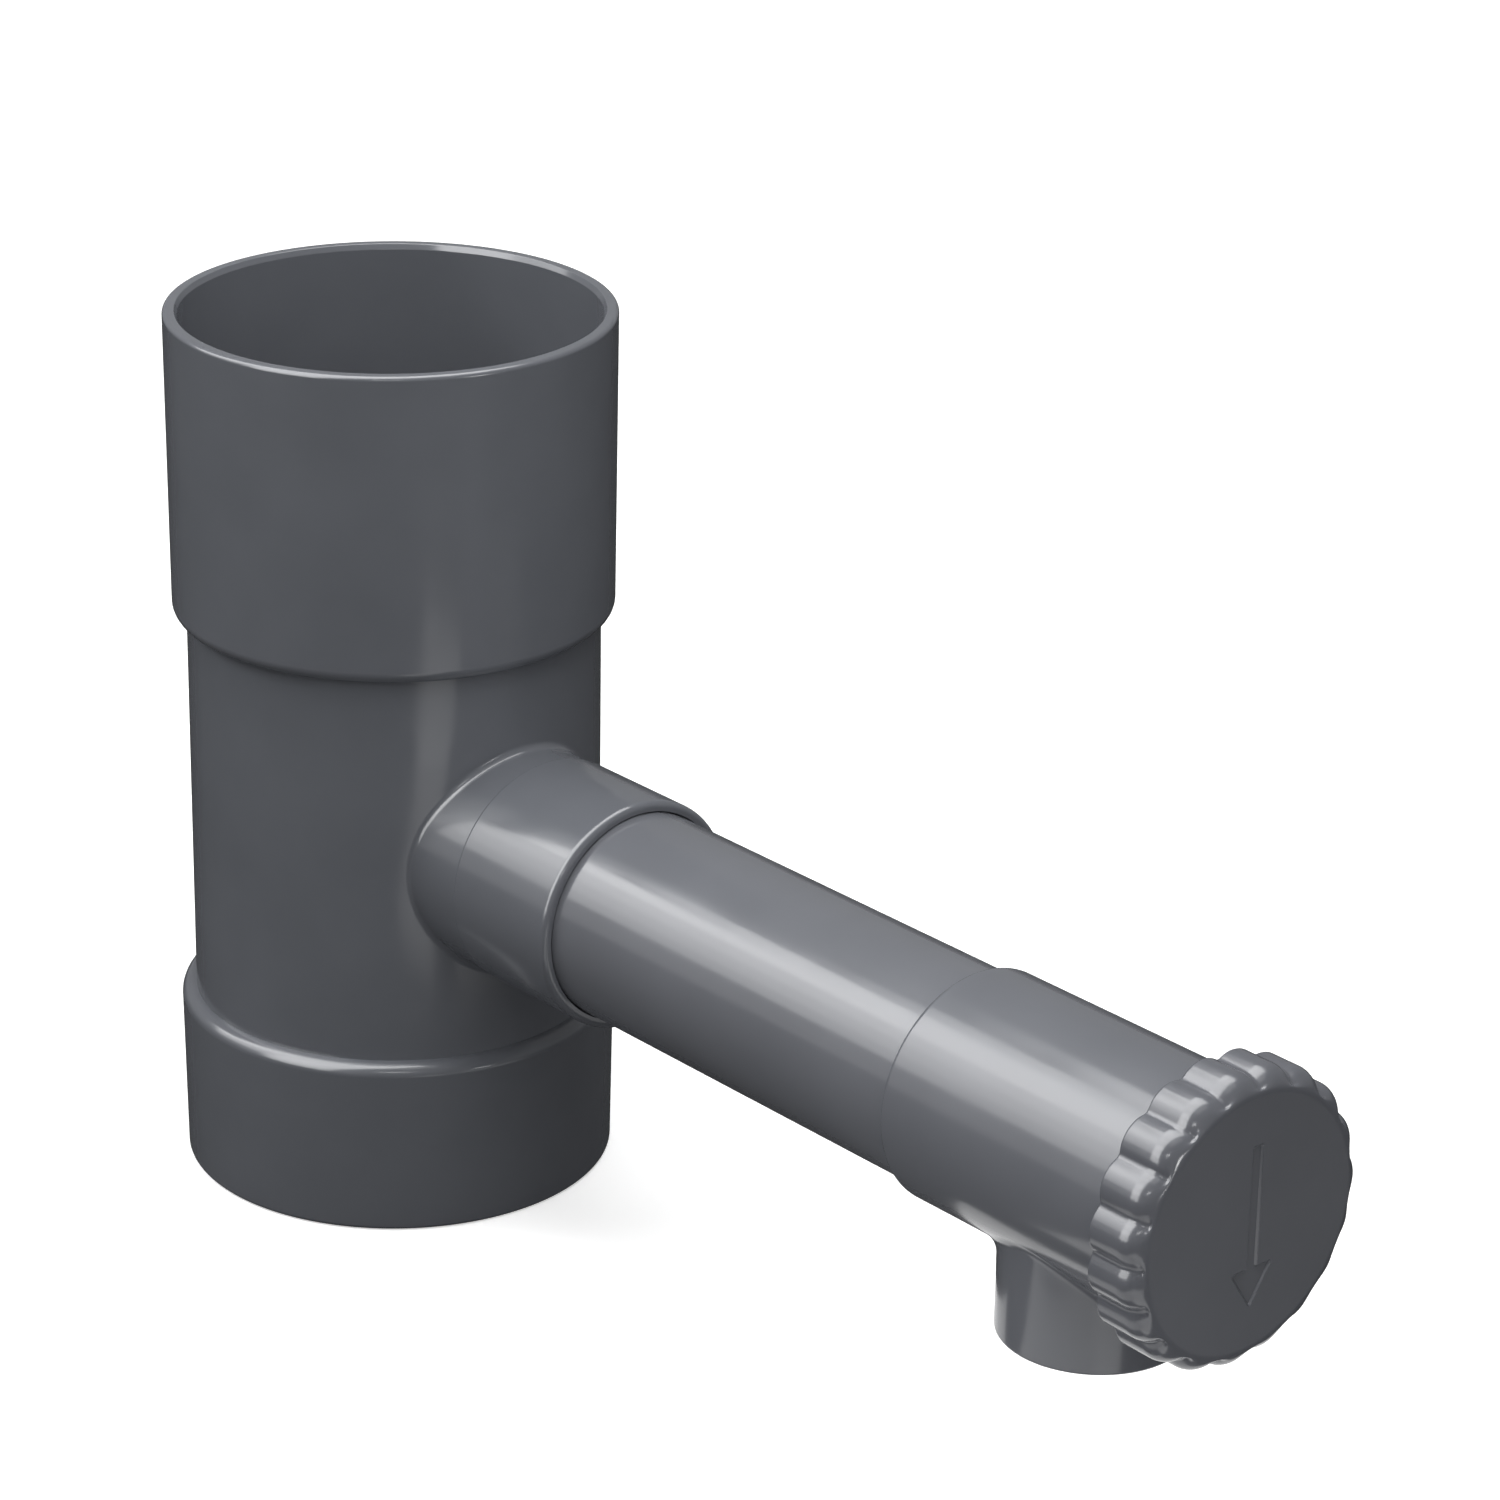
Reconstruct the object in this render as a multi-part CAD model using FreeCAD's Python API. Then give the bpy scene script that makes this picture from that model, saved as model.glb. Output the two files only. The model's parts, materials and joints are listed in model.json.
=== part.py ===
import FreeCAD, Part
import math
import os

from FreeCAD import Vector

# Rainwater diverter for a round downpipe, in millimetres.
# The origin is on the downpipe's axis at the lower mouth. +Z is up the downpipe, +X is along the arm.

# Downpipe and body
downpipe_radius = 52.5
downpipe_clearance = 0.4
tube_wall = 2.7
collar_length = 46.5
tube_length = 102.9
socket_length = 79.2
socket_wall = 3.2
socket_taper = 0.5
collar_wall = 2.6
collar_taper = 0.7
shoulder_round = 3.2
mouth_round = 1.1
lead_in = 1.4
lead_in_step = 0.7
stop_web = 8.0

# Branch on the body
arm_rise = 50.5
branch_reach = 97.2
branch_socket_depth = 35.7
branch_wall = 2.8
branch_base_step = 0.5
branch_base_taper = 0.7
branch_junction_round = 2.0
branch_mouth_round = 1.6
branch_lead_in = 0.7
branch_lead_in_step = 0.35

# Arm pipe
arm_pipe_radius = 26.5
arm_pipe_wall = 1.9
arm_pipe_length = 170.5
arm_joint_clearance = 0.1
pipe_edge = 0.5

# Catch ring
ring_clearance = 0.1
ring_skirt_wall = 2.0
ring_flange_thickness = 2.4
ring_flange_recess = 0.2
ring_pocket_step = 1.5
ring_floor_thickness = 2.5
ring_floor_drop = 1.6
weir_radius = 36.0
weir_wall = 2.2
weir_rise = 41.0
weir_round = 1.0
ring_seal_section = 2.4
ring_seal_drop = 3.6

# Outlet tee
tee_wall = 1.9
tee_socket_depth = 15.5
tee_edge_round = 1.4
chamber_step = 1.6
outlet_offset = 24.0
outlet_radius = 22.3
outlet_wall = 2.5
outlet_drop = 45.0
outlet_junction_round = 4.4
outlet_mouth_round = 0.8
outlet_seat_length = 10.5
outlet_root_draft = 0.3
tee_front_reach = 42.1

# Valve sleeve and its seals
running_clearance = 0.08
end_play = 0.3
sleeve_wall = 3.6
sleeve_flange_thickness = 2.2
sleeve_flange_clearance = 0.3
port_radius = 18.5
valve_seal_section = 2.0
valve_seal_inset = 2.8
seal_clearance = 0.04

# Knob
knob_crest_radius = 35.6
knob_face_radius = 30.3
knob_depth = 14.4
knob_cap = 3.4
knob_cap_gap = 0.5
knob_lobes = 19
first_hollow_turn = 3.0
lobe_radius = 7.5
valley_radius = 1.5
knob_front_round = 5.8
knob_back_round = 0.7
knob_skirt_gap = 3.3
knob_ribs = 9
knob_rib_width = 1.6
knob_rib_clearance = 0.4
knob_rib_root = 0.8
knob_rib_setback = 1.4
boss_depth = 8.0
boss_wall = 2.2
boss_clearance = 0.05
key_width = 4.0
key_height = 1.2
key_clearance = 0.1

# Arrow sunk into the knob's face
arrow_depth = 0.5
arrow_side = 1.2
arrow_top = 18.6
arrow_tip = 20.6
arrow_head_length = 9.6
arrow_head_width = 12.6
arrow_shaft_width = 3.0

# Shapes are compared to within this
match = 1e-4

# Heights and radii that follow from the sizes above
socket_foot = collar_length + tube_length
rim_height = socket_foot + socket_length
arm_height = collar_length + arm_rise
tube_bore = downpipe_radius - tube_wall
pipe_socket_bore = downpipe_radius + downpipe_clearance
lower_stop = collar_length - stop_web
pipe_stop = lower_stop - ring_flange_thickness - ring_flange_recess
ring_pocket_radius = pipe_socket_bore - ring_pocket_step
upper_stop = socket_foot + stop_web
arm_socket_bore = arm_pipe_radius + arm_joint_clearance
arm_bore = arm_pipe_radius - arm_pipe_wall
branch_radius = arm_socket_bore + branch_wall
arm_start = branch_reach - branch_socket_depth
arm_end = arm_start + arm_pipe_length
tee_radius = arm_socket_bore + tee_wall
tee_start = arm_end - tee_socket_depth
flange_start = arm_end + end_play
flange_end = flange_start + sleeve_flange_thickness
chamber_start = flange_end + end_play
chamber_bore = arm_socket_bore - chamber_step
outlet_x = chamber_start + outlet_offset
outlet_bore = outlet_radius - outlet_wall
outlet_mouth = arm_height - outlet_drop
outlet_seat_end = outlet_mouth + outlet_mouth_round + outlet_seat_length
tee_end = outlet_x + tee_front_reach
sleeve_radius = chamber_bore - running_clearance
sleeve_bore = sleeve_radius - sleeve_wall
rear_seal_x = chamber_start + valve_seal_inset
front_seal_x = 2 * outlet_x - rear_seal_x
cap_inside = tee_end + knob_cap_gap
knob_face = cap_inside + knob_cap
knob_back = knob_face - knob_depth
ring_radius = tube_bore - ring_clearance
ring_floor_top = arm_height - arm_bore - ring_floor_drop
ring_floor_bottom = ring_floor_top - ring_floor_thickness
ring_seal_height = ring_floor_bottom - ring_seal_drop

up = Vector(0, 0, 1)
along = Vector(1, 0, 0)
origin = Vector(0, 0, 0)
arm_origin = Vector(0, 0, arm_height)


def rounded_face(corners, place):
    """A flat face from corners (radius, height, rounding), with an arc wherever the rounding isn't zero."""
    count = len(corners)
    spans = []
    for i in range(count):
        here = Vector(corners[i][0], corners[i][1], 0)
        before = Vector(corners[i - 1][0], corners[i - 1][1], 0) - here
        after = Vector(corners[(i + 1) % count][0], corners[(i + 1) % count][1], 0) - here
        rounding = corners[i][2]
        if rounding == 0:
            spans.append((here, None, here))
            continue
        before.normalize()
        after.normalize()
        half = before.getAngle(after) / 2
        reach = rounding / math.tan(half)
        middle_way = before + after
        middle_way.normalize()
        middle = here + middle_way * (rounding / math.sin(half) - rounding)
        spans.append((here + before * reach, middle, here + after * reach))
    edges = []
    for i in range(count):
        start, middle, end = spans[i]
        if middle is not None:
            edges.append(Part.Arc(place(start), place(middle), place(end)).toShape())
        following = spans[(i + 1) % count][0]
        if end.distanceToPoint(following) > match:
            edges.append(Part.makeLine(place(end), place(following)))
    return Part.Face(Part.Wire(edges))


def turned(corners):
    """A solid turned about the downpipe's axis, with its seam on the side away from the arm."""
    return rounded_face(corners, lambda p: Vector(-p.x, 0, p.y)).revolve(origin, up, 360)


def turned_on_arm(corners):
    """A solid turned about the arm's axis. A corner's height is its distance along the arm."""
    face = rounded_face(corners, lambda p: Vector(p.y, 0, arm_height + p.x))
    return face.revolve(arm_origin, along, 360)


def arm_cylinder(radius, start, end):
    return Part.makeCylinder(radius, end - start, Vector(start, 0, arm_height), along)


def ring_seal(section, outer_radius, centre, axis):
    """An O-ring given by its section's diameter and its outer radius."""
    return Part.makeTorus(outer_radius - section / 2, section / 2, centre, axis)


def junction_edges(solid):
    """Edges where a round wall meets one whose axis is at right angles to its own."""
    found = []
    for edge in solid.Edges:
        faces = solid.ancestorsOfType(edge, Part.Face)
        axes = [face.Surface.Axis for face in faces if hasattr(face.Surface, "Radius")]
        if len(axes) == 2 and abs(axes[0].dot(axes[1])) < match:
            found.append(edge)
    return found


def make_body():
    """Moulded body: upper socket, tube, lower collar and the branch socket, in one piece."""
    collar_low = pipe_socket_bore + collar_wall
    collar_high = collar_low + collar_taper
    socket_low = pipe_socket_bore + socket_wall
    socket_high = socket_low + socket_taper
    outside = turned([
        (0, 0, 0),
        (collar_low, 0, mouth_round),
        (collar_high, collar_length, shoulder_round),
        (downpipe_radius, collar_length, 0),
        (downpipe_radius, socket_foot, 0),
        (socket_low, socket_foot, shoulder_round),
        (socket_high, rim_height, mouth_round),
        (0, rim_height, 0),
    ])
    base = arm_cylinder(branch_radius - branch_base_step, 0, arm_start + branch_base_taper)
    outside = outside.fuse(base).removeSplitter()
    outside = outside.makeFillet(branch_junction_round, junction_edges(outside))
    branch = turned_on_arm([
        (0, arm_start, 0),
        (branch_radius - branch_base_step, arm_start, 0),
        (branch_radius, arm_start + branch_base_taper, 0),
        (branch_radius, branch_reach, branch_mouth_round),
        (0, branch_reach, 0),
    ])
    inside = turned([
        (0, 0, 0),
        (pipe_socket_bore, 0, 0),
        (pipe_socket_bore, pipe_stop, 0),
        (ring_pocket_radius, pipe_stop, 0),
        (ring_pocket_radius, lower_stop, 0),
        (tube_bore, lower_stop, 0),
        (tube_bore, upper_stop, 0),
        (pipe_socket_bore, upper_stop, 0),
        (pipe_socket_bore, rim_height - lead_in, 0),
        (pipe_socket_bore + lead_in_step, rim_height, 0),
        (0, rim_height, 0),
    ])
    pipe_seat = turned_on_arm([
        (0, arm_start, 0),
        (arm_socket_bore, arm_start, 0),
        (arm_socket_bore, branch_reach - branch_lead_in, 0),
        (arm_socket_bore + branch_lead_in_step, branch_reach, 0),
        (0, branch_reach, 0),
    ])
    body = outside.fuse(branch).cut(inside)
    return body.cut(pipe_seat).cut(arm_cylinder(arm_bore, 0, arm_start)).removeSplitter()


def make_catch_ring():
    """Ring pushed in from below: its trough takes the wall water, and its weir lets the rest overflow."""
    flange_radius = ring_pocket_radius - ring_clearance
    skirt_bore = ring_radius - ring_skirt_wall
    groove = ring_seal_section
    head_bore = ring_radius - groove - ring_skirt_wall
    head_bottom = ring_seal_height - groove
    groove_low = ring_seal_height - groove / 2
    groove_high = ring_seal_height + groove / 2
    weir_bore = weir_radius - weir_wall
    return turned([
        (skirt_bore, lower_stop - ring_flange_thickness, 0),
        (flange_radius, lower_stop - ring_flange_thickness, 0),
        (flange_radius, lower_stop, 0),
        (ring_radius, lower_stop, 0),
        (ring_radius, groove_low, 0),
        (ring_radius - groove, groove_low, 0),
        (ring_radius - groove, groove_high, 0),
        (ring_radius, groove_high, 0),
        (ring_radius, ring_floor_top, 0),
        (weir_radius, ring_floor_top, weir_round),
        (weir_radius, ring_floor_top + weir_rise, weir_round),
        (weir_bore, ring_floor_top + weir_rise, weir_round),
        (weir_bore, ring_floor_bottom, weir_round),
        (head_bore, ring_floor_bottom, 0),
        (head_bore, head_bottom, 0),
        (skirt_bore, head_bottom - ring_skirt_wall, 0),
    ])


def make_catch_ring_seal():
    """Ring seal between the catch ring's head and the body's tube."""
    return ring_seal(ring_seal_section, tube_bore - seal_clearance, Vector(0, 0, ring_seal_height), up)


def make_arm_pipe():
    """Plain pipe from the body's branch to the tee."""
    inner = arm_pipe_radius - arm_pipe_wall
    return turned_on_arm([
        (inner, arm_start, 0),
        (arm_pipe_radius - pipe_edge, arm_start, 0),
        (arm_pipe_radius, arm_start + pipe_edge, 0),
        (arm_pipe_radius, arm_end - pipe_edge, 0),
        (arm_pipe_radius - pipe_edge, arm_end, 0),
        (inner, arm_end, 0),
    ])


def make_outlet_tee():
    """Moulded tee: socket for the arm pipe, valve chamber, and an outlet with a seat below a drafted root."""
    barrel = turned_on_arm([
        (0, tee_start, 0),
        (tee_radius, tee_start, tee_edge_round),
        (tee_radius, tee_end, tee_edge_round),
        (0, tee_end, 0),
    ])
    spigot_face = rounded_face([
        (0, outlet_mouth, 0),
        (outlet_radius, outlet_mouth, outlet_mouth_round),
        (outlet_radius, outlet_seat_end, 0),
        (outlet_radius + outlet_root_draft, arm_height, 0),
        (0, arm_height, 0),
    ], lambda p: Vector(outlet_x + p.x, 0, p.y))
    outlet_base = Vector(outlet_x, 0, outlet_mouth)
    tee = barrel.fuse(spigot_face.revolve(outlet_base, up, 360)).removeSplitter()
    tee = tee.makeFillet(outlet_junction_round, junction_edges(tee))
    tee = tee.cut(arm_cylinder(chamber_bore, chamber_start, tee_end))
    tee = tee.cut(arm_cylinder(arm_socket_bore, tee_start, chamber_start))
    return tee.cut(Part.makeCylinder(outlet_bore, outlet_drop, outlet_base, up)).removeSplitter()


def make_valve_sleeve():
    """Turning sleeve with a side port. At rest the port lies over the outlet, and half a turn closes it."""
    groove = valve_seal_section
    flange_radius = arm_socket_bore - sleeve_flange_clearance
    corners = [
        (sleeve_bore, flange_start, 0),
        (flange_radius, flange_start, 0),
        (flange_radius, flange_end, 0),
        (sleeve_radius, flange_end, 0),
    ]
    for seal_x in (rear_seal_x, front_seal_x):
        corners += [
            (sleeve_radius, seal_x - groove / 2, 0),
            (sleeve_radius - groove, seal_x - groove / 2, 0),
            (sleeve_radius - groove, seal_x + groove / 2, 0),
            (sleeve_radius, seal_x + groove / 2, 0),
        ]
    corners += [(sleeve_radius, cap_inside, 0), (sleeve_bore, cap_inside, 0)]
    sleeve = turned_on_arm(corners)
    port = Part.makeCylinder(port_radius, chamber_bore, Vector(outlet_x, 0, arm_height), -up)
    notch_width = key_width + 2 * key_clearance
    notch_height = 2 * (sleeve_bore + key_height + key_clearance)
    notch = Part.makeBox(boss_depth, notch_width, notch_height)
    notch.translate(Vector(cap_inside - boss_depth, -notch_width / 2, arm_height - notch_height / 2))
    return sleeve.cut(port).cut(notch)


def make_valve_seal(seal_x):
    """Ring seal in the sleeve's groove, one on each side of the port."""
    return ring_seal(valve_seal_section, chamber_bore - seal_clearance, Vector(seal_x, 0, arm_height), along)


def scalloped_face(x):
    """Knob outline: round lobes joined by small hollow arcs, with the first hollow just past the top."""
    half_pitch = math.pi / knob_lobes
    lobe_centre = knob_crest_radius - lobe_radius
    side = lobe_centre * math.sin(half_pitch)
    valley_centre = lobe_centre * math.cos(half_pitch) + math.sqrt((lobe_radius + valley_radius) ** 2 - side ** 2)
    touch_out = valley_centre + (lobe_centre * math.cos(half_pitch) - valley_centre) * valley_radius / (
        lobe_radius + valley_radius)
    touch_side = side * valley_radius / (lobe_radius + valley_radius)

    def point(out, across, turn):
        y = out * math.sin(turn) + across * math.cos(turn)
        z = out * math.cos(turn) - across * math.sin(turn)
        return Vector(x, y, arm_height + z)

    edges = []
    for i in range(knob_lobes):
        valley = 2 * half_pitch * i + math.radians(first_hollow_turn)
        hollow_start = point(touch_out, -touch_side, valley)
        hollow_deep = point(valley_centre - valley_radius, 0, valley)
        hollow_end = point(touch_out, touch_side, valley)
        crest = point(knob_crest_radius, 0, valley + half_pitch)
        next_start = point(touch_out, -touch_side, valley + 2 * half_pitch)
        edges.append(Part.Arc(hollow_start, hollow_deep, hollow_end).toShape())
        edges.append(Part.Arc(hollow_end, crest, next_start).toShape())
    return Part.Face(Part.Wire(edges))


def arrow_cut():
    """Arrow that points down, as deep as it is sunk into the knob's face."""
    shoulder = arrow_head_length - arrow_tip
    half_shaft = arrow_shaft_width / 2
    half_head = arrow_head_width / 2
    outline = [
        (-half_shaft, arrow_top),
        (half_shaft, arrow_top),
        (half_shaft, shoulder),
        (half_head, shoulder),
        (0, -arrow_tip),
        (-half_head, shoulder),
        (-half_shaft, shoulder),
    ]
    points = [Vector(knob_face - arrow_depth, arrow_side + y, arm_height + z) for y, z in outline]
    return Part.Face(Part.makePolygon(points + points[:1])).extrude(along * knob_cap)


def make_knob():
    """Scalloped cap: round front edge, skirt with ribs inside, and a keyed boss that turns the sleeve."""
    rounded_radius = knob_face_radius + knob_front_round
    rounded = turned_on_arm([
        (0, knob_back, 0),
        (rounded_radius, knob_back, 0),
        (rounded_radius, knob_face, knob_front_round),
        (0, knob_face, 0),
    ])
    block = scalloped_face(knob_back).extrude(along * knob_depth).common(rounded)
    back = [e for e in block.Edges if all(abs(v.X - knob_back) < match for v in e.Vertexes)]
    block = block.makeFillet(knob_back_round, back)
    skirt_bore = tee_radius + knob_skirt_gap
    knob = block.cut(arm_cylinder(skirt_bore, knob_back, cap_inside))
    rib_inner = tee_radius + knob_rib_clearance
    rib_height = skirt_bore + knob_rib_root - rib_inner
    rib_length = cap_inside - knob_back - knob_rib_setback
    for i in range(knob_ribs):
        rib = Part.makeBox(rib_length, knob_rib_width, rib_height)
        rib.translate(Vector(cap_inside - rib_length, -knob_rib_width / 2, arm_height + rib_inner))
        rib.rotate(arm_origin, along, 360 * (i + 0.5) / knob_ribs)
        knob = knob.fuse(rib)
    boss_radius = sleeve_bore - boss_clearance
    boss_start = cap_inside - boss_depth + key_clearance
    boss = arm_cylinder(boss_radius, boss_start, cap_inside)
    key = Part.makeBox(cap_inside - boss_start, key_width, 2 * (boss_radius + key_height))
    key.translate(Vector(boss_start, -key_width / 2, arm_height - boss_radius - key_height))
    boss = boss.fuse(key).cut(arm_cylinder(boss_radius - boss_wall, boss_start, cap_inside))
    return knob.fuse(boss).cut(arrow_cut()).removeSplitter()


pieces = {
    "body": make_body(),
    "catch_ring": make_catch_ring(),
    "catch_ring_seal": make_catch_ring_seal(),
    "arm_pipe": make_arm_pipe(),
    "outlet_tee": make_outlet_tee(),
    "valve_sleeve": make_valve_sleeve(),
    "rear_valve_seal": make_valve_seal(rear_seal_x),
    "front_valve_seal": make_valve_seal(front_seal_x),
    "knob": make_knob(),
}

os.makedirs("parts", exist_ok=True)
for name, shape in pieces.items():
    shape.exportStep("parts/" + name + ".step")
    box = shape.BoundBox
    print(name, "valid", shape.isValid(), "solids", len(shape.Solids), "faces", len(shape.Faces),
          "volume", round(shape.Volume / 1000, 2), "cm3",
          "x", round(box.XMin, 1), round(box.XMax, 1), "z", round(box.ZMin, 1), round(box.ZMax, 1))
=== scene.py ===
import json
import math

import bmesh
import bpy
import numpy as np
from mathutils import Matrix, Vector


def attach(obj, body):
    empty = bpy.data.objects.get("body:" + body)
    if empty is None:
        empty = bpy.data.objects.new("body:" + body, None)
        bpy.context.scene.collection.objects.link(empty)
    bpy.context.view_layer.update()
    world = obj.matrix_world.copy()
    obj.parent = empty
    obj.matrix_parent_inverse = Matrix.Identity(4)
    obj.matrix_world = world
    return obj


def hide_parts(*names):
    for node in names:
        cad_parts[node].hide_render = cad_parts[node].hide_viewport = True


# Rainwater diverter, dressed. Sizes of the pieces are in millimetres. Meshes, camera and lamps are in metres.
# +Z runs up the body, +X along the arm, and the origin is on the body's axis at the lower mouth.

mm = 0.001
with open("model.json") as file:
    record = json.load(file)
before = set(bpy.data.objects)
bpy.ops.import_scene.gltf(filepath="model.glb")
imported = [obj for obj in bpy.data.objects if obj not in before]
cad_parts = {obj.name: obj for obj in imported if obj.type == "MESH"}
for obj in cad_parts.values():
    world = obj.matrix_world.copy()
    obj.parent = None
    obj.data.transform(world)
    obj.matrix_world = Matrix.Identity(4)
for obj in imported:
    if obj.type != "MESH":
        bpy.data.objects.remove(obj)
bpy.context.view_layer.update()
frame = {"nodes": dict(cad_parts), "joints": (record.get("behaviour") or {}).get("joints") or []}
valveAxis = frame["joints"][0]["pos_m"]
armHeight = valveAxis[2] / mm
outletX = valveAxis[0] / mm
print("frame loaded:", len(frame["nodes"]), "pieces, arm axis at", round(armHeight, 2), "mm")

meshing = {
    "columns": 256,        # round each turned piece, a multiple of 16
    "arcSteps": 7,         # in a rounded corner
    "support": 0.12,       # mm from a rounded corner to the next ring, which keeps the flat beside it flat
    "supportShare": 0.25,  # of a run, above which it gets no such ring
    "fillet": 9,           # rows in a round between two walls
    "patchRows": 10,       # rows between a hole and the window around it
    "patchPower": 1.6,     # above 1 the rows lie closer at the hole
    "joins": 5,            # rows between a wall and the straight part of a branch
    "sharp": 34.0,         # degrees, above which an edge stays sharp
    "onWall": 1e-6,        # mm, within which a row counts as on a wall
    "weld": 2e-6,          # metres, within which points become one
}


def outline(corners, closed):
    # Polygon with arcs: at a corner with rounding r and half angle h the arc starts r / tan(h) before the corner.
    # A corner is (radius, distance, rounding, pieces), and the run after it is cut into that many pieces.
    count = len(corners)
    points = np.array([c[:2] for c in corners], float)
    starts = points.copy()
    ends = points.copy()
    arcs = [points[i:i + 1] for i in range(count)]
    for i, corner in enumerate(corners):
        if corner[2] == 0:
            continue
        before = points[i - 1] - points[i]
        after = points[(i + 1) % count] - points[i]
        before /= np.linalg.norm(before)
        after /= np.linalg.norm(after)
        half = math.acos(np.clip(before @ after, -1, 1)) / 2
        reach = corner[2] / math.tan(half)
        middle = before + after
        centre = points[i] + middle / np.linalg.norm(middle) * corner[2] / math.sin(half)
        starts[i] = points[i] + before * reach
        ends[i] = points[i] + after * reach
        first = (starts[i] - centre) / corner[2]
        last = (ends[i] - centre) / corner[2]
        arcs[i] = centre + corner[2] * slerp(first, last, np.linspace(0, 1, meshing["arcSteps"] + 1))
    rows = []
    for i, corner in enumerate(corners):
        rows.append(arcs[i])
        if i == count - 1 and not closed:
            break
        a = ends[i]
        b = starts[(i + 1) % count]
        length = np.linalg.norm(b - a)
        share = meshing["support"] / max(length, 1e-9)
        pieces = corner[3] if len(corner) > 3 else 1
        steps = np.linspace(0, 1, pieces + 1)[1:-1]
        if share < meshing["supportShare"]:
            steps = np.concatenate([[share], steps, [1 - share]])
        rows.append(a + (b - a) * steps[:, None])
    return np.concatenate(rows)


def slerp(a, b, t):
    # Unit vectors from a to b: (sin((1 - t) w) a + sin(t w) b) / sin w, with w the angle between them.
    # The values of t make a new first axis.
    t = t.reshape(t.shape + (1,) * a.ndim)
    w = np.arccos(np.clip((a * b).sum(-1, keepdims=True), -1, 1))
    return (np.sin((1 - t) * w) * a + np.sin(t * w) * b) / np.sin(w)


def aboutBody(along, out, side):
    # Point at (out, side, along): out points along the arm, side to the far side, along up the body's axis
    return np.stack(np.broadcast_arrays(out, side, along), -1) * mm


def aboutArm(along, out, side):
    # Point at (along, side, arm height - out): out points down from the arm's axis
    return np.stack(np.broadcast_arrays(along, side, armHeight - out), -1) * mm


def columnAngles():
    # Evenly round a turned piece, from minus half a turn
    return np.linspace(-math.pi, math.pi, meshing["columns"] + 1)[:-1]


def turned(place, profile):
    # Surface of revolution: (along, r cos t, r sin t) for each profile point and each angle t
    t = columnAngles()
    r = profile[:, :1]
    return place(profile[:, 1:2] + 0 * t, r * np.cos(t), r * np.sin(t))


def gridFaces(rows, columns, offset, closedRows=False, holes=()):
    # Quads of a grid whose point (i, j) has the number offset + i * columns + j. The columns always close on
    # themselves, and cells in a hole are left out.
    i = np.arange(rows if closedRows else rows - 1)
    j = np.arange(columns)
    i, j = np.meshgrid(i, j, indexing="ij")
    keep = np.ones(i.shape, bool)
    for i0, i1, j0, j1 in holes:
        keep &= ~((i >= i0) & (i < i1) & (j >= j0) & (j < j1))
    i, j = i[keep], j[keep]
    up, right = (i + 1) % rows, (j + 1) % columns
    quads = np.stack([i * columns + j, i * columns + right, up * columns + right, up * columns + j], -1)
    return quads + offset


class Shell:
    # Collects grids and makes one welded mesh of them

    def __init__(self):
        self.points = []
        self.faces = []
        self.count = 0

    def add(self, grid, **options):
        # One grid of points, with its faces numbered after those of the grids before it
        rows, columns = grid.shape[:2]
        self.faces.append(gridFaces(rows, columns, self.count, **options))
        self.points.append(grid.reshape(-1, 3))
        self.count += rows * columns

    def build(self, name, extra=None, fillEnds=False):
        # Mesh object in metres. extra makes faces before the welding, and fillEnds closes the bars' ends after it.
        points = np.concatenate(self.points)
        faces = np.concatenate(self.faces)
        mesh = bpy.data.meshes.new(name)
        mesh.vertices.add(len(points))
        mesh.vertices.foreach_set("co", points.astype(np.float32).ravel())
        mesh.loops.add(faces.size)
        mesh.loops.foreach_set("vertex_index", faces.astype(np.int32).ravel())
        mesh.polygons.add(len(faces))
        mesh.polygons.foreach_set("loop_start", np.arange(0, faces.size, 4, dtype=np.int32))
        mesh.update(calc_edges=True)
        work = bmesh.new()
        work.from_mesh(mesh)
        if extra:
            extra(work)
        bmesh.ops.remove_doubles(work, verts=work.verts, dist=meshing["weld"])
        bmesh.ops.dissolve_degenerate(work, edges=work.edges, dist=meshing["weld"])
        if fillEnds:
            bmesh.ops.holes_fill(work, edges=[e for e in work.edges if e.is_boundary], sides=0)
        bmesh.ops.recalc_face_normals(work, faces=work.faces)
        openEdges = sum(not e.is_manifold for e in work.edges)
        work.to_mesh(mesh)
        work.free()
        mesh.polygons.foreach_set("use_smooth", np.ones(len(mesh.polygons), bool))
        mesh.set_sharp_from_angle(angle=math.radians(meshing["sharp"]))
        piece = bpy.data.objects.new(name, mesh)
        bpy.context.scene.collection.objects.link(piece)
        print(name, len(mesh.polygons), "faces, open edges", openEdges)
        return piece


def windowOf(profile, radius, low, high, halfAngle):
    # The rectangle that a branch stands in, as (i0, i1, j0, j1): the wall's rows from low to high, and the columns
    # within halfAngle of the middle
    near = meshing["onWall"]
    along = profile[:, 1]
    rows = np.flatnonzero((abs(profile[:, 0] - radius) < near) & (along > low - near) & (along < high + near))
    half = round(halfAngle / 360 * meshing["columns"])
    middle = meshing["columns"] // 2
    return rows[0], rows[-1], middle - half, middle + half


def windowBorder(profile, window):
    # Loop round the window as (angle, distance) pairs: along the high row, then down, back and up again
    i0, i1, j0, j1 = window
    t = columnAngles()
    if profile[i0, 1] > profile[i1, 1]:
        i0, i1 = i1, i0
    step = 1 if i1 > i0 else -1
    rows = np.arange(i0, i1 + step, step)
    columns = np.arange(j0, j1 + 1)
    loop = [(t[j], profile[i1, 1]) for j in columns[:-1]]
    loop += [(t[j1], profile[i, 1]) for i in rows[::-1][:-1]]
    loop += [(t[j], profile[i0, 1]) for j in columns[::-1][:-1]]
    loop += [(t[j0], profile[i, 1]) for i in rows[:-1]]
    return np.array(loop)


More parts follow.
